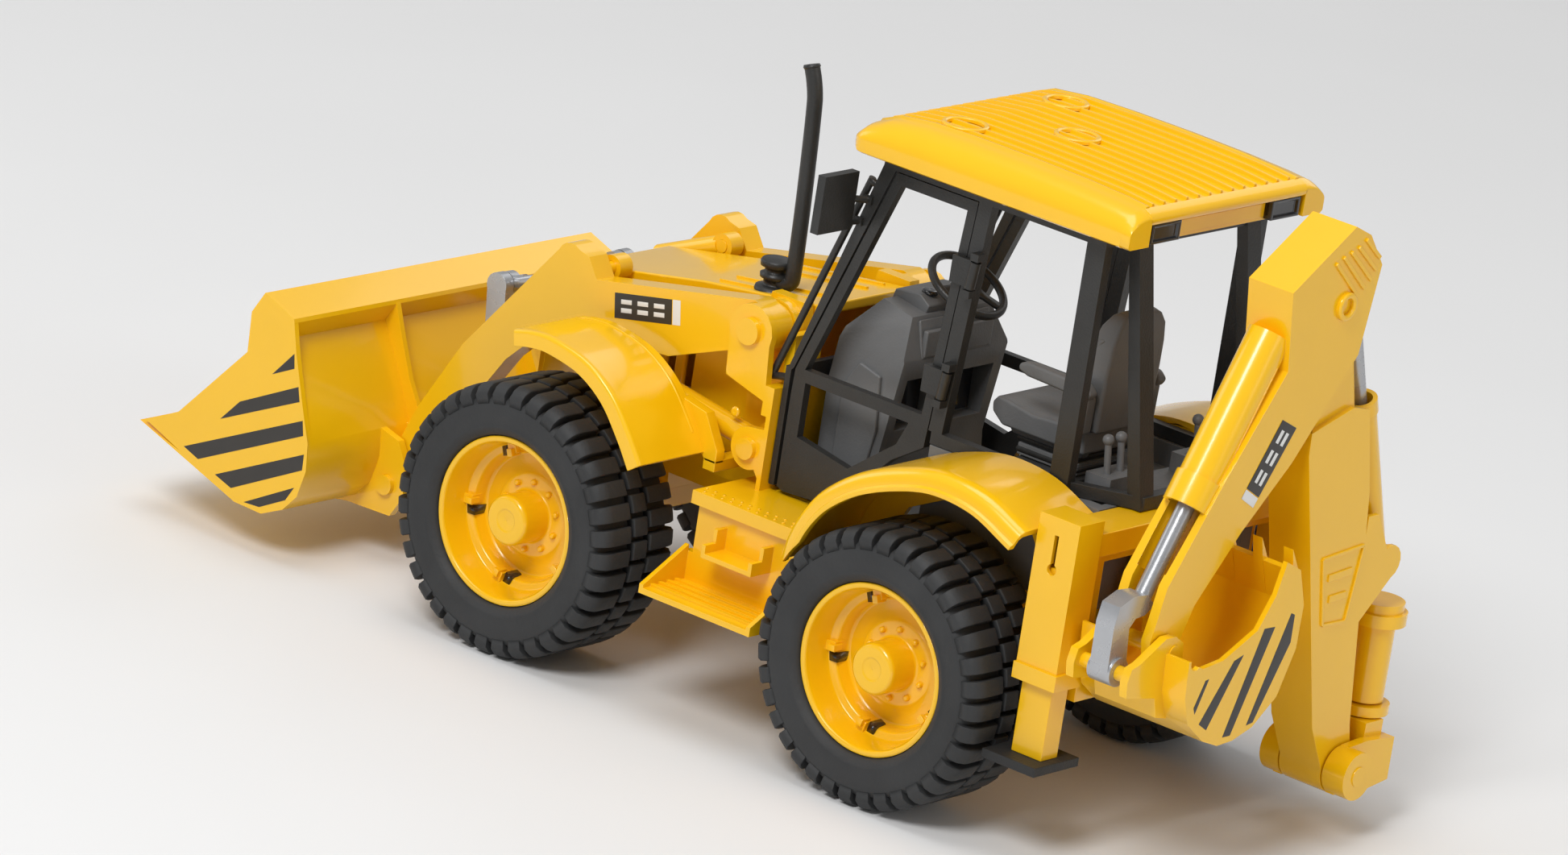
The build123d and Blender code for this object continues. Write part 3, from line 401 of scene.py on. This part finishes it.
# ---- exhaust: ribbed plug, elbow and bent pipe ----
PX, PY = 100.5, 14.0
f = Form()
f.lathe([(0, 114.6), (5.6, 114.6), (5.7, 115.4), (5.4, 116.4), (3.6, 116.8), (3.3, 117.4), (3.3, 118.6),
         (4.5, 119.1), (4.6, 120.2),
         (3.6, 120.7), (3.3, 121.4), (3.5, 122.2), (4.8, 122.6), (4.9, 124.0), (4.4, 124.7), (0,
                                 124.9)], (PX, PY, 0), (0, 0, 1), 40)
pipe = [(0, 118.4), (-3.4, 118.2), (-5.8, 119.2), (-6.5, 122.5), (-6.2, 140), (-5.4, 160), (-4.7, 172),
        (-4.2, 176), (-3.1, 180), (-1.6, 183.8)]
f.tube(spline([(PX + x, PY, z) for x, z in pipe], 5), 2.35, 20)
f.lathe([(1.5, 0), (2.35, 0), (2.6, 0.5), (2.35, 1.2), (1.5, 1.2)], (PX - 1.8, PY, 183.1), (0.35, 0, 1), 24)
f.done("exhaust_pipe", "machine", CAB, bevel=0, stands_for=["exhaust_stack"])

# ---- seat, dash and cab details ----
f = Form()
f.prism([(-17.5, 101.2), (12.5, 101.2), (16.6, 104.4), (17.0, 107.2), (15.2, 109.4), (11, 109.0), (2,
                        107.6), (-9, 108.4), (-17, 109.4)],
        "y", -13.4, 13.4)
f.rings([[(xa, -w, z), (xa, w, z), (xb, w * 0.93, z), (xb, -w * 0.93, z)] for z, xa, xb, w in
         ((108.0, -8.6, -20.0, 12.6), (116, -10.2, -20.4, 13.3), (126, -12.4, -21.0, 13.5), (134, -14.0,
                                 -21.4, 13.0),
          (139.5, -15.2, -21.8, 11.6), (142.6, -16.6, -21.6, 9.2), (144, -18, -20.8, 6.5))])
for s in (1, -1):
    f.rings([[(xa, s * 9.0, z), (xa, s * 12.8, z), (xa - 4, s * 12.8, z), (xa - 4, s * 9.0, z)] for z, xa in
             ((109.4, -7.2), (116, -8.4), (126, -10.8), (133, -12.6), (136, -14.4))])
    f.prism([(-19, 118.6), (3, 119.4), (6.6, 120.6), (6.4, 122.6), (3, 123.6), (-18, 123.2), (-20.4, 121)],
            "y", s * 14.2, s * 18)
    f.prism([(-18.6, 108), (-12.4, 108), (-13.2, 119.6), (-19, 119.6)], "y", s * 12.6, s * 17.2)
    f.prism([(-16, 99.4), (10, 99.4), (12, 102), (-17, 102)], "y", s * 8.4, s * 11.4)
f.done("seat_shell", "machine", TRIM, bevel=1.0, segments=3, stands_for=["seat"])
f = Form()
for y in (-6.6, -2.2, 2.2, 6.6):
    f.rings([[(xa + 0.35, y - 1.3, z), (xa + 0.35, y + 1.3, z), (xa - 1.2, y + 1.6, z), (xa - 1.2, y - 1.6,
                            z)] for z, xa in
             ((112, -9.4), (126, -12.4), (137, -14.7))])
f.done("seat_back_pads", "machine", TRIM, bevel=0.35)
f = Form()
for k in range(8):
    z = 72.2 + 3.55 * k
    f.rings([[(x * g - 3, y * g, z + dz) for x, y in ((-11.4, -10.4), (11.4, -10.4), (11.4, 10.4), (-11.4,
                            10.4))]
             for g, dz in ((0.88, 0), (1.0, 1.3), (1.0, 2.2), (0.88, 3.5))])
f.done("seat_bellows", "machine", CAB, bevel=0.3)
f = Form()
f.prism([(47, 123.6), (60, 124.4), (59, 128), (50, 129), (46, 126.4)], "y", -11, 11)
for s in (1, -1):
    f.prism([(43.4, 108), (45.6, 88), (44.6, 88), (42.2, 108)], "y", s * 2.0, s * 3.4)
    f.prism([(42.9, 112), (45.6, 122.6), (44.6, 123.4), (41.8, 112)], "y", s * 5, s * 16)
for z0, z1, y0, y1 in ((112.5, 120.5, 5, 15.4), (112.5, 120.5, -15.4, -5)):
    f.prism([(y0, z0), (y1, z0), (y1, z1), (y0, z1)], "x", 41.6, 43.4)
f.prism([(50, 76), (62, 78), (62, 100), (57, 108), (49, 106), (47.6, 90)], "y", 23.6, 25.2)
f.done("dash_binnacle", "machine", TRIM, bevel=0.5)
f = Form()
for s in (1, -1):
    f.prism([(s * 4.6, 90.6), (s * 19.4, 90.6), (s * 19.4, 105.4), (s * 4.6, 105.4)], "x", 49.3, 49.8)
    f.lathe([(0, 0), (2.4, 0), (2.4, 0.9), (1.9, 1.2), (0, 1.2)], (50, s * 6.4, 128.6), (-0.1, 0, 1), 28)
f.done("dash_dials", "machine", LENS, bevel=0.1)

# ---- steering wheel ----
tip = Vector((-0.5, 0, 0.866))
col = Vector((49, 0, 120)) + tip * 14.5
u = Vector((0.866, 0, 0.5))
v = Vector((0, 1, 0))
f = Form()
loop = [col + (u * cos(2 * pi * k / 56) + v * sin(2 * pi * k / 56)) * 12 for k in range(56)]
rings = []
for k, p in enumerate(loop):
    out = (p - col).normalized()
    rings.append([p + (out * cos(a) + tip * sin(a)) * 1.25 for a in [2 * pi * j / 14 for j in range(14)]])
f.rings(rings, loop=True, caps=False)
for k in range(3):
    a = 2 * pi * k / 3 + pi / 2
    d = u * cos(a) + v * sin(a)
    w = tip.cross(d)
    f.rings([[col + d * s + w * (sw * q) + tip * (h * t) for q, t in ((-1, -1), (1, -1), (1, 1), (-1, 1))]
             for s, sw, h in ((2, 1.7, 0.8), (6, 1.1, 0.6), (11.4, 1.3, 0.6))])
f.lathe([(0, -4.6), (1.15, -4.6), (1.15, -1.4), (2.8, -1.2), (3.1, -0.6), (3.1, 0.8), (2.6, 1.3), (0, 1.5)],
        col, tip, 28)
f.done("steering_ring", "steering_wheel_body", CAB, bevel=0, stands_for=["steering_wheel"])

# ---- printed stripes and plates (generic) ----
bucket_bands = [[(226.6, 65.0), (225.8, 60.6), (234.0, 56.4)],
                [(223.3, 55.7), (222.1, 51.4), (251.7, 36.9), (245.0, 44.4)],
                [(219.9, 46.2), (218.9, 41.8), (258.2, 22.2), (264.4, 24.3)],
                [(217.6, 36.4), (217.5, 31.5), (243.9, 17.6), (250.8, 19.7)],
                [(219.6, 25.4), (222.4, 20.6), (232.0, 15.4), (238.2, 15.0)]]
for hand, side in (("left", 1), ("right", -1)):
    f = Form()
    for band in bucket_bands:
        f.prism(band, "y", 73.95, 74.06)
    f.done(f"bucket_stripes_{hand}", "bucket", INK, side, bevel=0)
shovel_bands = [[(12.8, 79.6), (14.6, 80.4), (27.6, 49.0), (24.6, 49.4), (12.6, 71.4)],
                [(21.4, 77.4), (26.4, 77.6), (38.2, 47.2), (34.6, 47.2)],
                [(34.4, 71.2), (38.6, 70.0), (50.6, 53.2), (46.6, 50.8)],
                [(49.2, 66.4), (50.8, 66.2), (54.4, 58.6), (53.4, 56.6)]]
for face, near, far in (("rear", ARM_X - 19.03, ARM_X - 18.9), ("front", ARM_X + 18.9, ARM_X + 19.03)):
    f = Form()
    for band in shovel_bands:
        f.prism(band, "x", near, far)
    f.done(f"shovel_stripes_{face}", "shovel", INK, bevel=0)


def plate(name, body, corners, axis, near, far, side=1, bars=3):
    """A dark label plate from four corners, with a pale end block and a few plain bars."""
    a, b, c, d = [Vector(p) for p in corners]

    def spot(s, t):
        return tuple((a + (b - a) * s) * (1 - t) + (d + (c - d) * s) * t)

    Form().prism([spot(0, 0), spot(0.87, 0), spot(0.87, 1), spot(0, 1)], axis, near, far).done(
        f"{name}_plate", body, INK, side, bevel=0)
    f = Form().prism([spot(0.885, 0), spot(1, 0), spot(1, 1), spot(0.885, 1)], axis, near, far)
    lift = far + (far - near) * 0.4
    for k in range(bars):
        s = 0.1 + 0.25 * k
        f.prism([spot(s, 0.24), spot(s + 0.16, 0.24), spot(s + 0.16, 0.42), spot(s, 0.42)], axis, near, lift)
        f.prism([spot(s, 0.58), spot(s + 0.16, 0.58), spot(s + 0.16, 0.76), spot(s, 0.76)], axis, near, lift)
    f.done(f"{name}_bars", body, WHITE, side, bevel=0)


for hand, side in (("left", 1), ("right", -1)):
    plate(f"arm_label_{hand}", "loader", [(139.0, 106.0), (114.6, 110.9), (113.4, 103.6), (137.8, 98.6)],
          "y", 38.25, 38.4, side)
plate("dipper_label", "dipper_body", [(18.6, 134.6), (32.2, 113.4), (26.0, 109.8), (11.4, 131.2)], "x",
      ARM_X - 7.75, ARM_X - 7.95)

# ---- arm mouldings on the stowed side ----
def strip(f, a, b, half, near, far, axis="x"):
    """A straight raised bar between two points of a flat face."""
    (p, q), (r, t) = a, b
    d = hypot(r - p, t - q)
    u, v = -(t - q) / d * half, (r - p) / d * half
    return f.prism([(p + u, q + v), (r + u, t + v), (r - u, t - v), (p - u, q - v)], axis, near, far)


f = Form()
for a, b in (((-7.1, 184.2), (-15.0, 177.9)), ((-4, 182.4), (-14.2, 174.4)), ((-0.8, 181.3), (-12.6, 171.6)),
             ((2.5, 180.2), (-9.9, 169.5)), ((5.6, 178.7), (-7.2, 167.5))):
    strip(f, a, b, 0.6, ARM_X - 7.5, ARM_X - 8.5)
f.lathe([(2.4, 0), (4.2, 0), (4.2, 1.4), (3.8, 1.8), (2.8, 1.8), (2.4, 1.4)], (ARM_X - 7.4, -2.5, 165.2),
        (-1, 0, 0), 40)
f.done("dipper_ridges", "dipper_body", YELLOW, bevel=0.2)
f = Form()
badge = [(-32.6, 89.6), (-13.4, 88.2), (-18.4, 67.6), (-29.4, 67.2)]
for a, b in zip(badge, badge[1:] + badge[:1]):
    strip(f, a, b, 0.5, ARM_X - 7.2, ARM_X - 8.0)
strip(f, (-28.6, 82.6), (-17.6, 81.8), 1.1, ARM_X - 7.2, ARM_X - 7.9)
strip(f, (-27.6, 75.6), (-19.6, 75.2), 1.1, ARM_X - 7.2, ARM_X - 7.9)
f.done("boom_badge", "boom_body", YELLOW, bevel=0.18)

# ---- small mouldings on the machine ----
f = Form()
for s in (1, -1):
    f.prism([(84, 117.4), (118, 113.0), (118, 113.9), (84, 118.3)], "y", s * 8.4, s * 9.6)
    f.prism([(84, 117.4), (118, 113.0), (118, 113.9), (84, 118.3)], "y", s * 16.4, s * 17.4)
    for x, z in ((88.6, 85.0), (88.6, 97.0)):
        f.lathe([(0, 0), (1.6, 0), (1.6, 0.5), (1.1, 0.9), (0, 0.9)], (x, s * 38.0, z), (0, s, 0), 24)
f.done("hood_ridges", "machine", YELLOW, bevel=0.15)
f = Form()
for s in (1, -1):
    for k in range(12):
        x = 44 + 3.3 * k
        f.lathe([(0, 0), (0.55, 0), (0.45, 0.4), (0, 0.45)], (x, s * 57.6, 65.9), (0, 0, 1), 10)
        f.lathe([(0, 0), (0.55, 0), (0.45, 0.4), (0, 0.45)], (x + 1.6, s * 54.8, 65.9), (0, 0, 1), 10)
f.done("step_studs", "machine", YELLOW, bevel=0)

# ---- camera, light, floor ----
cam_data = bpy.data.cameras.new("camera")
cam = bpy.data.objects.new("camera", cam_data)
bpy.context.scene.collection.objects.link(cam)
bpy.context.scene.camera = cam
cam.location = at(-1571.4, 2193.35, 911.35)
aim = (at(51.73, 62.75, 95.28) - cam.location).normalized()
up = Vector((0.29652, -0.13617, 0.94527))
right = aim.cross(up).normalized()
cam.matrix_world = Matrix.Translation(cam.location) @ Matrix((right, right.cross(aim),
                        -aim)).transposed().to_4x4()
cam_data.lens = 226
cam_data.clip_start, cam_data.clip_end = 0.05, 60

world = bpy.data.worlds.new("world")
bpy.context.scene.world = world
world.use_nodes = True
world.node_tree.nodes["Background"].inputs["Color"].default_value = (1.0, 1.0, 1.0, 1)
world.node_tree.nodes["Background"].inputs["Strength"].default_value = 0.36
bpy.context.scene.view_settings.view_transform = "Standard"


def area(name, place, aim_at, size, power, tint=(1, 1, 1)):
    d = bpy.data.lights.new(name, "AREA")
    d.shape, d.size, d.energy, d.color = "DISK", size, power, tint
    o = bpy.data.objects.new(name, d)
    bpy.context.scene.collection.objects.link(o)
    o.location = place
    o.rotation_euler = (Vector(aim_at) - Vector(place)).to_track_quat("-Z", "Y").to_euler()


area("key", (-0.4, 1.5, 1.7), (0, 0, 0.08), 0.8, 27)
area("top", (0.2, 0.1, 2.0), (0, 0, 0.08), 1.3, 11)
area("fill", (-1.9, -0.3, 0.9), (0, 0, 0.08), 1.2, 5)
area("front", (1.8, 0.4, 0.9), (0, 0, 0.08), 1.1, 4)
area("back", (0.3, -1.9, 1.2), (0, 0, 0.08), 1.3, 4)

floor_mat = plastic("floor_pale", (0.8, 0.8, 0.8), 0.7, vary=0.01, grain=0.02, grain_size=60, mottle=3)
mesh = bpy.data.meshes.new("floor")
mesh.from_pydata([(-9, -9, 0), (9, -9, 0), (9, 9, 0), (-9, 9, 0)], [], [(0, 1, 2, 3)])
mesh.materials.append(floor_mat)
floor = bpy.data.objects.new("floor", mesh)
bpy.context.scene.collection.objects.link(floor)
